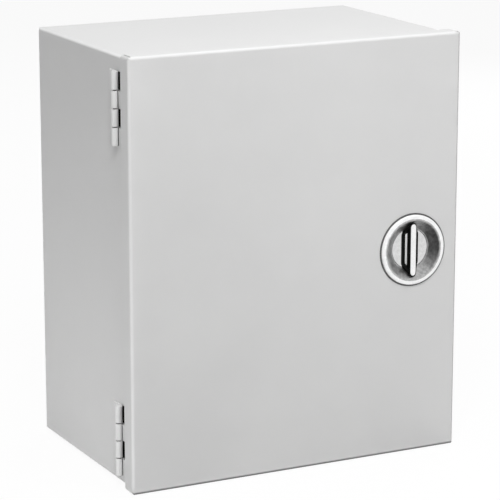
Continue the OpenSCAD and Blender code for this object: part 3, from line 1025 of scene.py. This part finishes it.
@dataclass
class ButtHinge:
    """One butt hinge: a leaf on the box, a leaf on the door and a headed pin, in millimetres.

    Attributes:
        name: upper or lower.
        foot: height of the hinge's lower end.
        length: length of the hinge.
        axis: place of the pin across and in depth.
        barrel_r: outside radius of the barrel.
        pin_r: radius of the pin.
        head_r: radius of the pin's riveted heads.
        head_h: height of the heads.
        leaf_t: thickness of the leaves.
        gap: gap between knuckles.
        wall_x: outside face of the box's side wall.
        sink: depth that the box's leaf is let into the wall.
        clear: gap between the door's leaf and the wall.
        box_reach: end of the leaf on the box behind the pin.
        flange_y: rear edge of the door's flange.
        cut: set-back of the door leaf's cut-outs under the flange.
        door_reach: length of the door's leaf under the flange.
        lap: length that the strips of a leaf share.
        hair: step that keeps the faces of two strips apart.
        step: step that keeps the ends of two strips apart.
        end_h: height of the upper end of the box's leaf that has the painted highlight.
        shade_sheet: distances of the two sides of the black sheet of painted shade behind the door's leaf.
        backing: distances of the two sides of the painted strip behind that black sheet.
        shade_sheet_lap: length that the black sheet lies under the flange.
        shade_sheet_ends: distance of the black sheet from the pin's axis, and its reach below a knuckle.
        line: reach of the painted shade line in the crease before and behind the knuckle's edge.
        line_t: height of the painted shade line over the leaf, and its depth in it.
    """

    name: str
    foot: float
    length: float = 50.8
    axis: tuple[float, float] = (-129.9, -143.8)
    barrel_r: float = 2.5
    pin_r: float = 1.25
    head_r: float = 1.9
    head_h: float = 0.6
    leaf_t: float = 1.2
    gap: float = 0.8
    wall_x: float = -127.0
    sink: float = 0.5
    clear: float = 0.4
    box_reach: float = 13.0
    flange_y: float = -153.8
    cut: float = 1.5
    door_reach: float = 8.0
    lap: float = 0.4
    hair: float = 0.02
    step: float = 0.05
    end_h: float = 0.9
    shade_sheet: tuple[float, float] = (0.02, 0.25)
    backing: tuple[float, float] = (0.26, 0.36)
    shade_sheet_lap: float = 3.5
    shade_sheet_ends: tuple[float, float] = (0.5, 0.2)
    line: tuple[float, float] = (0.9, 0.5)
    line_t: tuple[float, float] = (0.06, 0.1)

    @property
    def top(self) -> float:
        """Height of the hinge's upper end."""
        return self.foot + self.length

    def build(self) -> None:
        """Makes both leaves with their knuckles, the black sheets of painted shade behind the gaps and in the
        creases, and the pin.
        """
        on_box, on_door = (1, 3), (0, 2)
        box_rolls = [self.knuckle(index) for index in on_box]
        door_rolls = [self.knuckle(index) for index in on_door]
        self.add(self.box_leaf(on_box), "leaf_on_box", Part.BOX, HINGE_PAINT, "body_leaf")
        # The knuckles and the top end of the box's leaf use the lighter copy of the hinge paint, a painted
        # highlight
        self.add(box_rolls + [self.leaf_end()], "box_knuckles_painted_highlight", Part.BOX, HINGE_HIGHLIGHT_PAINT)
        self.add(self.door_leaf(on_door), "leaf_on_door", Part.DOOR, HINGE_PAINT, "door_leaf")
        self.add(door_rolls, "door_knuckles_painted_highlight", Part.DOOR, HINGE_HIGHLIGHT_PAINT)
        # Black sheets behind the cut-outs: painted shade in the gaps beside the box's knuckles
        shade_sheet = [self.strip(index, *self.shade_sheet) for index in on_box]
        self.add(shade_sheet, "gap_painted_shade", Part.DOOR, SHADE_BLACK)
        backing = [self.strip(index, *self.backing) for index in on_box]
        self.add(backing, "shade_sheet_backing", Part.DOOR, HINGE_PAINT)
        # Black lines in the creases beside the door's knuckles: painted shade
        self.add([self.crease(index) for index in on_door], "crease_painted_shade", Part.DOOR, SHADE_BLACK)
        # The pin heads also use the lighter copy of the hinge paint, a painted highlight
        self.add(self.pin_heads(), "pin_heads", Part.BOX, HINGE_HIGHLIGHT_PAINT)
        # The pin is near-black: painted shade in the joints between the knuckles
        pin = self.on_axis(tube(0.0, self.pin_r, self.foot, self.top, 32))
        self.add([pin], "pin_in_painted_shade", Part.BOX, SHADE_BLACK, "pin")

    def add(self, meshes: list[BMesh], label: str, part: Part, finish: Finish, node: str = "") -> None:
        """Gathers meshes in one piece of this hinge.

        Args:
            meshes: meshes in their places at rest; they are freed here.
            label: name of the piece in the hinge.
            part: body that the piece rides on.
            finish: surface finish.
            node: name of the solid that it stands for, if any.
        """
        nodes = (f"{self.name}_hinge_{node}",) if node else ()
        piece(merge(meshes), f"{self.name}_{label}", part, finish, nodes)

    def on_axis(self, bm: BMesh) -> BMesh:
        """Moves a turned mesh to the pin's axis and returns it."""
        return put(bm, Matrix.Translation((self.axis[0] * MM, self.axis[1] * MM, 0.0)))

    def span(self, index: int) -> tuple[float, float]:
        """Returns the lower and upper end of one knuckle, counted from below."""
        each = self.length / 4
        low = self.foot + index * each + (self.gap / 2 if index else 0.0)
        high = self.foot + (index + 1) * each - (self.gap / 2 if index < 3 else 0.0)
        return low, high

    def knuckle(self, index: int) -> BMesh:
        """Returns one rolled knuckle with softened rims."""
        low, high = self.span(index)
        bm = tube(self.pin_r + 0.05, self.barrel_r, low, high, 36)
        round_ring(bm, self.barrel_r, low, 0.28, 3)
        round_ring(bm, self.barrel_r, high, 0.28, 3)
        return self.on_axis(bm)

    def plate(self, low: Point, high: Point) -> BMesh:
        """Returns one flat strip of a leaf with softened edges."""
        bm = block(low, high)
        soften(bm, 0.2)
        return bm

    def box_leaf(self, rolls: tuple[int, ...]) -> list[BMesh]:
        """Makes the leaf on the box.

        Args:
            rolls: the box's knuckles, counted from below.

        Returns:
            The leaf's flat strip and the short strips that lead to the knuckles.
        """
        left, right = self.wall_x - self.leaf_t, self.wall_x + self.sink
        start = self.axis[1] + self.barrel_r + self.gap
        rear = self.axis[1] + self.box_reach
        strips = [self.plate((left, start, self.foot), (right, rear, self.top - self.step))]
        for low, high in map(self.span, rolls):
            near = (left + self.hair, self.axis[1], low)
            strips.append(self.plate(near, (right + self.hair, start + self.lap, high - 2 * self.step)))
        return strips

    def leaf_end(self) -> BMesh:
        """Returns the upper end of the leaf on the box, in the lighter paint that is a painted highlight on its
        top edge.
        """
        left, right = self.wall_x - self.leaf_t - self.hair, self.wall_x + self.sink
        start = self.axis[1] + self.barrel_r + self.gap
        bm = block((left, start, self.top - self.end_h), (right, self.axis[1] + self.box_reach, self.top))
        soften(bm, 0.4, 3)
        return bm

    def door_leaf(self, rolls: tuple[int, ...]) -> list[BMesh]:
        """Makes the leaf on the door.

        Args:
            rolls: the door's knuckles, counted from below.

        Returns:
            The leaf's flat strip and the short strips that lead to the knuckles.
        """
        right = self.wall_x - self.clear
        left = right - self.leaf_t
        front = self.flange_y - self.cut
        strips = [self.plate((left, front - self.door_reach, self.foot), (right, front, self.top))]
        for low, high in map(self.span, rolls):
            near = (left + self.hair, front - self.lap, low + self.step)
            strips.append(self.plate(near, (right - self.hair, self.axis[1], high)))
        return strips

    def strip(self, index: int, near: float, far: float) -> BMesh:
        """Makes a thin strip behind the door leaf's cut-out before one knuckle of the box: in black it is
        painted shade in the gap, in the hinge paint it backs the black sheet.

        Args:
            index: knuckle, counted from below.
            near: distance of the strip's outer side behind the leaf, in millimetres.
            far: distance of its inner side behind the leaf.

        Returns:
            The strip's mesh.
        """
        low, high = self.span(index)
        back = self.wall_x - self.clear
        rear = self.axis[1] - self.shade_sheet_ends[0]
        low -= self.shade_sheet_ends[1]
        return block((back + near, self.flange_y - self.shade_sheet_lap, low), (back + far, rear, high))

    def crease(self, index: int) -> BMesh:
        """Returns the black line of painted shade in the crease between one knuckle of the door and its leaf.
        """
        low, high = self.span(index)
        face = self.wall_x - self.clear - self.leaf_t
        edge = self.axis[1] - math.sqrt(self.barrel_r**2 - (face - self.axis[0]) ** 2)
        front, rear = edge - self.line[0], edge + self.line[1]
        return block((face - self.line_t[0], front, low), (face + self.line_t[1], rear, high))

    def pin_heads(self) -> list[BMesh]:
        """Returns the riveted heads at both ends of the pin, rounded outwards."""
        heads = []
        for seat, end in ((self.foot, self.foot - self.head_h), (self.top, self.top + self.head_h)):
            bm = tube(0.0, self.head_r, min(seat, end), max(seat, end), 32)
            round_ring(bm, self.head_r, end, 0.4, 4)
            heads.append(self.on_axis(bm))
        return heads


@dataclass
class CupLatch:
    """The round quarter-turn latch: cast cup, rubber seal, ring nut, grip, spring washer and cam.

    Heights are measured from the door's face, outwards, in millimetres.

    Attributes:
        centre: place of the latch across, in depth and up.
        door_t: thickness of the door's sheet.
        rim_r: outside radius of the rim.
        rim_h: height of the rim.
        rim_round: rounding of the rim's edges.
        crest: width of the crest between its roundings.
        crest_r: radius at which the buffing of the rim ends on its crest.
        seal_r: outside radius of the rubber seal.
        seal_t: thickness of the rubber seal.
        neck_r: radius of the neck through the door.
        bowl_r: radius of the bowl's bottom.
        bowl_z: height of the bowl's bottom.
        recess_r: radius of the recess that holds the disc.
        disc_t: thickness of the disc.
        floor_t: thickness of the cup's floor.
        boss_r: radius of the boss behind the cup.
        boss_z: height of the boss's end.
        nut_r: outside radius of the ring nut.
        nut_t: thickness of the ring nut.
        slot: depth of the ring nut's slots.
        slot_half: half of the angle that a slot takes up, in degrees.
        shaft_r: radius of the grip's shaft.
        square: side of the shaft's square end.
        square_z: height of the square end.
        blade: length of the blade at its foot and along its front edge.
        blade_t: thickness of the blade.
        blade_z: height of the blade's front edge.
        land: width of the bright strip on the blade's front.
        foot: run and height of the blade's sloped foot.
        field: width of the black field beside the foot, a painted reflection of the blade in the disc.
        sink: depth that the grip's pieces are let into the disc.
        shaft_fit: play of the shaft in the cup.
        boss_gap: gap between the boss's end and the spring washer.
        bowl_round: roundings of the bowl's mouth and of its bottom.
        disc_fit: play of the disc in its recess.
        seal_fit: play of the seal on the neck.
        nut_fit: play of the ring nut on the neck.
        strip_t: depth of the bright strip.
        strip_short: distance of the strip from the blade's ends.
        strip_h: height of the strip over the dark blade.
        field_round: rounding of the field's corners.
        field_ends: gap of the field's sides in the recess, and the reach of its ends past that.
        web_in: distance of the webs from the ends of the blade's foot.
        web_t: thickness of the webs along the blade.
        web_low: distance of the webs' tops under the blade's front.
        web_side: distance of the webs from the field's long sides.
    """

    centre: Point = (92.5, -166.5, -2.0)
    door_t: float = 1.5
    rim_r: float = 25.8
    rim_h: float = 2.0
    rim_round: float = 1.2
    crest: float = 1.5
    crest_r: float = 22.9
    seal_r: float = 26.9
    seal_t: float = 0.6
    neck_r: float = 22.0
    bowl_r: float = 15.6
    bowl_z: float = -3.7
    recess_r: float = 15.0
    disc_t: float = 1.2
    floor_t: float = 2.3
    boss_r: float = 10.0
    boss_z: float = -8.4
    nut_r: float = 24.4
    nut_t: float = 3.2
    slot: float = 1.2
    slot_half: float = 4.73
    shaft_r: float = 6.0
    square: float = 8.0
    square_z: float = -11.5
    blade: tuple[float, float] = (28.0, 40.4)
    blade_t: float = 5.6
    blade_z: float = 1.7
    land: float = 4.3
    foot: float = 1.1
    field: float = 3.1
    sink: float = 0.05
    shaft_fit: float = 0.06
    boss_gap: float = 0.03
    bowl_round: tuple[float, float] = (0.85, 0.25)
    disc_fit: float = 0.3
    seal_fit: float = 0.4
    nut_fit: float = 0.08
    strip_t: float = 0.5
    strip_short: float = 1.2
    strip_h: float = 0.12
    field_round: float = 3.5
    field_ends: tuple[float, float] = (0.7, 1.2)
    web_in: float = 0.6
    web_t: float = 2.8
    web_low: float = 1.0
    web_side: float = 0.4

    def build(self) -> None:
        """Makes every piece of the latch in its place and dresses the solids behind the door."""
        spot = facing(Facing.FRONT, *self.centre)
        behind = along(spot, -self.door_t - self.nut_t)
        piece(put(self.cup(), spot), "latch_bowl", Part.DOOR, CUP_METAL, ("latch_cup",))
        piece(put(self.rim(), spot), "latch_rim", Part.DOOR, RIM_PAINTED_HIGHLIGHT)
        piece(put(self.seal(), spot), "cup_rubber_seal", Part.DOOR, SEAL_RUBBER, ("latch_cup_seal",))
        piece(put(self.ring_nut(), behind), "cup_ring_nut", Part.DOOR, ZINC_PLATE, ("latch_ring_nut",))
        piece(put(self.disc(), spot), "grip_disc", Part.LATCH, DISC_METAL, ("latch_knob",))
        piece(put(self.grip_core(), spot), "grip_blade", Part.LATCH, GRIP_BLACK_WITH_PAINTED_REFLECTION)
        # The black field and webs are a painted reflection of the dark blade
        piece(put(self.painted_reflection_field(), spot), "grip_painted_reflection_field", Part.LATCH, GRIP_BLACK_WITH_PAINTED_REFLECTION)
        piece(put(self.grip_painted_reflection_webs(), spot), "grip_painted_reflection_webs", Part.LATCH, GRIP_BLACK_WITH_PAINTED_REFLECTION)
        piece(put(self.grip_foot(), spot), "grip_foot", Part.LATCH, FOOT_PAINTED_HIGHLIGHT)
        piece(put(self.grip_edge(), spot), "grip_front_edge", Part.LATCH, GRIP_METAL)
        for node in ("latch_spring_washer", "latch_cam", "latch_cam_screw"):
            dress(node, ZINC_PLATE)

    def cup(self) -> BMesh:
        """Returns the cast bowl inside the rim, with its neck and boss."""
        bore = self.shaft_r + self.shaft_fit
        end = self.boss_z + self.boss_gap
        recess = self.bowl_z - self.disc_t
        back = recess - self.floor_t
        mouth = self.rim_r - self.crest - 2.0 * self.rim_round
        outline = [
            (bore, end),
            (self.boss_r, end),
            (self.boss_r, back),
            (self.neck_r - 1.0, back),
            (self.neck_r, back + 1.0),
            (self.neck_r, self.seal_t),
            (self.crest_r, self.seal_t),
            (self.crest_r, self.rim_h),
            (mouth, self.rim_h),
            (self.bowl_r, self.bowl_z),
            (self.recess_r, self.bowl_z),
            (self.recess_r, recess),
            (bore, recess),
        ]
        bm = lathe(outline, 96)
        round_ring(bm, mouth, self.rim_h, self.bowl_round[0], 8)
        round_ring(bm, self.bowl_r, self.bowl_z, self.bowl_round[1], 3)
        return bm

    def rim(self) -> BMesh:
        """Returns the buffed rim around the bowl, rounded outside; its near-white tone, not metal, is a painted
        highlight of the polished rim.
        """
        bm = tube(self.crest_r, self.rim_r, self.seal_t, self.rim_h, 96)
        round_ring(bm, self.rim_r, self.rim_h, self.rim_round, 8)
        return bm

    def seal(self) -> BMesh:
        """Returns the rubber ring under the rim, with a rounded outer edge."""
        bm = tube(self.neck_r + self.seal_fit, self.seal_r, 0.0, self.seal_t, 96)
        round_ring(bm, self.seal_r, self.seal_t, 0.3, 3)
        return bm

    def ring_nut(self) -> BMesh:
        """Returns the ring nut that sits behind the door, with four slots in its rim."""
        bm = tube(self.neck_r + self.nut_fit, self.nut_r, 0.0, self.nut_t, 96)
        near = math.cos(math.radians(self.slot_half))
        outer = [v for v in bm.verts if v.co.length > (self.nut_r - 0.9) * MM]
        for turn in (45.0, 135.0, 225.0, 315.0):
            way = Vector((math.cos(math.radians(turn)), math.sin(math.radians(turn)), 0.0))
            rim = [v for v in outer if v.co.xy.normalized().dot(way.xy) > near]
            bmesh.ops.translate(bm, vec=-self.slot * MM * way, verts=rim)
        soften(bm, 0.25, 2, 40.0)
        return bm

    def disc(self) -> BMesh:
        """Returns the grip's disc with its shaft and square end."""
        recess = self.bowl_z - self.disc_t
        edge = self.recess_r - self.disc_fit
        outline = [
            (0.0, self.boss_z),
            (self.shaft_r, self.boss_z),
            (self.shaft_r, recess),
            (edge, recess),
            (edge, self.bowl_z),
            (0.0, self.bowl_z),
        ]
        bm = lathe(outline, 80)
        round_ring(bm, edge, self.bowl_z, 0.35, 4)
        half = self.square / 2
        end = block((-half, -half, self.square_z), (half, half, self.boss_z + 0.2))
        soften(end, 0.3)
        return merge([bm, end])

    def flare(self, low: float, high: float, wide: float, short: float) -> BMesh:
        """Makes a slice of the blade, longer in front than at its foot.

        Args:
            low: height of the slice's foot.
            high: height of the slice's front.
            wide: thickness of the slice.
            short: distance that the slice stays short of the blade's ends.

        Returns:
            The slice, with rounded ends and square long edges.
        """
        base, front = self.blade
        rise = (front - base) / (self.blade_z - self.bowl_z)
        ends = [(base + rise * (z - self.bowl_z)) / 2 - short for z in (low, high)]
        bm = block((-wide / 2, -ends[0], low), (wide / 2, ends[0], high))
        bmesh.ops.scale(bm, vec=(1.0, ends[1] / ends[0], 1.0), verts=above(bm, (low + high) / 2))
        round_edges(bm, upright(bm, (high - low) / 2), 0.4 * wide, 6)
        return bm

    def grip_core(self) -> BMesh:
        """Returns the dark blade behind its bright front strip, with rounded front edges."""
        bm = self.flare(self.bowl_z - self.sink, self.blade_z - self.strip_h, self.blade_t, 0.0)
        front = set(above(bm, self.blade_z - 2 * self.strip_h))
        round_edges(bm, [e for e in bm.edges if front.issuperset(e.verts)], 0.2, 2)
        return bm

    def painted_reflection_field(self) -> BMesh:
        """Returns the black field on the disc around the blade, with rounded corners: a painted reflection of
        the dark blade in the polished disc.
        """
        half = self.blade_t / 2 + self.foot + self.field
        run = math.sqrt((self.recess_r - self.field_ends[0]) ** 2 - half**2) + self.field_ends[1]
        bm = block((-half, -run, self.bowl_z - self.sink), (half, run, self.bowl_z + self.sink))
        round_edges(bm, upright(bm, self.sink), self.field_round, 8)
        return bm

    def grip_painted_reflection_webs(self) -> BMesh:
        """Returns the black webs that lead from the field up to both ends of the blade: a painted reflection of
        the dark blade in the bowl.
        """
        half = self.blade_t / 2 + self.foot + self.field - self.web_side
        end = self.blade[0] / 2 - self.web_in
        high = self.blade_z - self.web_low
        lean = (self.blade[1] - self.blade[0]) / 2 * (high - self.bowl_z) / (self.blade_z - self.bowl_z)
        webs = []
        for turn in (0.0, math.pi):
            bm = block((-half, end - self.web_t, self.bowl_z - self.sink), (half, end, high))
            tops = above(bm, 0.0)
            bmesh.ops.scale(bm, vec=(self.blade_t / 2 / half, 1.0, 1.0), verts=tops)
            bmesh.ops.translate(bm, vec=(0.0, lean * MM, 0.0), verts=tops)
            soften(bm, 0.6, 3)
            webs.append(put(bm, Matrix.Rotation(turn, 4, "Z")))
        return merge(webs)

    def grip_foot(self) -> BMesh:
        """Returns the bright sloped foot along both sides of the blade; its near-white tone is a painted
        highlight.
        """
        half = self.blade_t / 2 + self.foot
        run = self.blade[0] / 2 - 0.8
        bm = block((-half, -run, self.bowl_z - self.sink), (half, run, self.bowl_z + self.foot))
        tops = above(bm, self.bowl_z + self.foot / 2)
        bmesh.ops.scale(bm, vec=(self.blade_t / 2 / half, 1.0, 1.0), verts=tops)
        soften(bm, 0.15)
        return bm

    def grip_edge(self) -> BMesh:
        """Returns the bright strip along the blade's front."""
        bm = self.flare(self.blade_z - self.strip_t, self.blade_z, self.land, self.strip_short)
        soften(bm, 0.15, 2, 60.0)
        return bm


# Studio


def matt(name: str, tone: float) -> Material:
    """Returns a new matt grey material for the stage."""
    made = bpy.data.materials.new(name)
    made.use_nodes = True
    surface = {"Base Color": (*grey(tone), 1.0), "Roughness": 0.9, "Specular IOR Level": 0.0}
    NodeBench(made.node_tree).fill(made.node_tree.nodes["Principled BSDF"], surface)
    return made


def stage_sheet(name: str, side: float, spot: Matrix, material: Material) -> Object:
    """Lays out a square sheet that belongs to the stage.

    Args:
        name: name of the sheet.
        side: length of its sides in millimetres.
        spot: place of its middle.
        material: its material.

    Returns:
        The sheet's object.
    """
    bm = bmesh.new()
    bmesh.ops.create_grid(bm, x_segments=1, y_segments=1, size=side / 2 * MM)
    mesh = bpy.data.meshes.new(name)
    put(bm, spot).to_mesh(mesh)
    bm.free()
    mesh.materials.append(material)
    sheet = bpy.data.objects.new(name, mesh)
    bpy.context.scene.collection.objects.link(sheet)
    return sheet


@dataclass(frozen=True)
class Softbox:
    """A square lamp that gloss doesn't show.

    Attributes:
        name: name of the lamp.
        spot: place of the lamp, in millimetres.
        aim: point that it looks at, in millimetres.
        size: side of the lamp, in millimetres.
        power: power in watts.
        spread: angle of the beam in degrees.
    """

    name: str
    spot: Point
    aim: Point
    size: float
    power: float
    spread: float = 180.0

    def hang(self) -> None:
        """Hangs the lamp in the studio."""
        box = bpy.data.lights.new(self.name, "AREA")
        box.shape = "SQUARE"
        box.size = self.size * MM
        box.energy = self.power
        box.spread = math.radians(self.spread)
        made = bpy.data.objects.new(self.name, box)
        made.location = Vector(self.spot) * MM
        made.rotation_mode = "QUATERNION"
        made.rotation_quaternion = (Vector(self.aim) - Vector(self.spot)).to_track_quat("-Z", "Y")
        made.visible_glossy = False
        bpy.context.scene.collection.objects.link(made)


@dataclass(frozen=True)
class BlackCard:
    """A black card that only gloss shows, to give the polished metal its dark side.

    Attributes:
        spot: place of the card, in millimetres.
        aim: point that it faces, in millimetres.
        size: side of the card, in millimetres.
    """

    spot: Point
    aim: Point
    size: float

    def hang(self, black: Material) -> None:
        """Hangs the card in the studio.

        Args:
            black: material of the card.
        """
        way = (Vector(self.aim) - Vector(self.spot)).to_track_quat("Z", "Y").to_matrix().to_4x4()
        card = stage_sheet("black card", self.size, Matrix.Translation(Vector(self.spot) * MM) @ way, black)
        card.visible_camera = card.visible_diffuse = False
        card.visible_transmission = card.visible_shadow = False


@dataclass
class Studio:
    """Pale floor, soft lights and the camera.

    Attributes:
        floor_z: height of the floor, in millimetres.
        floor_side: length of the floor's sides, in millimetres.
        floor_white: share of white in what the camera and gloss see of the floor.
        eye: place of the camera, in millimetres.
        yaw: turn of the camera from straight on, in degrees.
        pitch: tilt of the camera below the horizon, in degrees.
        sensor: width of the camera's sensor, in millimetres.
        frame_px: width of the picture in pixels.
        focal_px: focal length in pixels of that picture.
        ambient: light of the world on the object.
        lamps: softboxes around the object.
        cards: black cards before the latch and the lower edge.
    """

    floor_z: float = -154.4
    floor_side: float = 12000.0
    floor_white: float = 0.94
    eye: Point = (-792.1, -1652.3, 417.9)
    yaw: float = 26.89
    pitch: float = 13.69
    sensor: float = 36.0
    frame_px: float = 500.0
    focal_px: float = 2462.0
    ambient: float = 0.1
    lamps: tuple[Softbox, ...] = (
        Softbox("main softbox", (-590.0, -1140.0, 1300.0), (-20.0, -140.0, 20.0), 500.0, 16.7),
        Softbox("right softbox", (290.0, -760.0, 680.0), (0.0, -160.0, 60.0), 450.0, 2.8),
        Softbox("overhead softbox", (0.0, -100.0, 1500.0), (0.0, -80.0, 0.0), 1500.0, 10.0),
        Softbox("rear softbox", (1100.0, 1000.0, 600.0), (60.0, -60.0, 0.0), 900.0, 8.4),
        Softbox("low left card", (-640.0, -90.0, -70.0), (-127.0, -90.0, -150.0), 120.0, 0.085, 70.0),
    )
    cards: tuple[BlackCard, ...] = (
        BlackCard((-48.0, -272.0, -10.0), (92.5, -166.5, -10.0), 250.0),
        BlackCard((-5.0, -306.0, -153.0), (-5.0, -306.0, 0.0), 266.0),
        BlackCard((-48.0, -272.0, 175.0), (92.5, -166.5, 175.0), 140.0),
    )

    def build(self) -> None:
        """Sets the camera, the world, the floor, the lamps and the cards."""
        bpy.context.scene.view_settings.view_transform = "Standard"
        self.camera()
        self.world()
        self.floor()
        for lamp in self.lamps:
            lamp.hang()
        black = matt("black card", 0.01)
        for card in self.cards:
            card.hang(black)

    def camera(self) -> None:
        """Makes the camera at the picture's viewing angle."""
        lens = bpy.data.cameras.new("picture camera")
        lens.sensor_width = self.sensor
        lens.lens = self.focal_px / self.frame_px * self.sensor
        lens.clip_start, lens.clip_end = 0.05, 50.0
        made = bpy.data.objects.new("picture camera", lens)
        made.location = Vector(self.eye) * MM
        made.rotation_euler = (math.radians(90.0 - self.pitch), 0.0, math.radians(-self.yaw))
        bpy.context.scene.collection.objects.link(made)
        bpy.context.scene.camera = made

    def world(self) -> None:
        """Makes a white world that lights softly and shows white to the camera and in gloss."""
        world = bpy.data.worlds.new("studio white")
        bpy.context.scene.world = world
        world.use_nodes = True
        bench = NodeBench(world.node_tree)
        path = bench.add("ShaderNodeLightPath").outputs
        seen = bench.calc("MAXIMUM", path["Is Camera Ray"], path["Is Transmission Ray"])
        shown = bench.calc("MAXIMUM", seen, path["Is Glossy Ray"])
        level = bench.span(shown, 0.0, 1.0, self.ambient, 1.0)
        bench.fill(world.node_tree.nodes["Background"], {"Color": (*grey(1.0), 1.0), "Strength": level})

    def floor(self) -> None:
        """Makes the pale floor, which shows white with a faint shadow of the object."""
        pale = matt("pale floor", 0.9)
        nodes = pale.node_tree.nodes
        bench = NodeBench(pale.node_tree)
        glow = bench.add("ShaderNodeEmission")
        path = bench.add("ShaderNodeLightPath").outputs
        seen = bench.calc("MAXIMUM", path["Is Camera Ray"], path["Is Glossy Ray"])
        mix = bench.add("ShaderNodeMixShader")
        bench.feed(mix.inputs[0], bench.span(seen, 0.0, 1.0, 0.0, self.floor_white))
        bench.feed(mix.inputs[1], nodes["Principled BSDF"].outputs[0])
        bench.feed(mix.inputs[2], glow.outputs[0])
        bench.feed(nodes["Material Output"].inputs["Surface"], mix.outputs[0])
        stage_sheet("pale floor", self.floor_side, Matrix.Translation((0.0, 0.0, self.floor_z * MM)), pale)


def main() -> None:
    """Builds the enclosure's sub-assemblies and the studio."""
    logging.basicConfig(level=logging.INFO, format="%(name)s: %(message)s")
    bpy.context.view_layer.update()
    SteelBox().build()
    LappedDoor().build()
    ButtHinge("upper", 90.6).build()
    ButtHinge("lower", -145.4).build()
    CupLatch().build()
    Studio().build()
    bpy.context.view_layer.update()


if __name__ == "__main__":
    main()
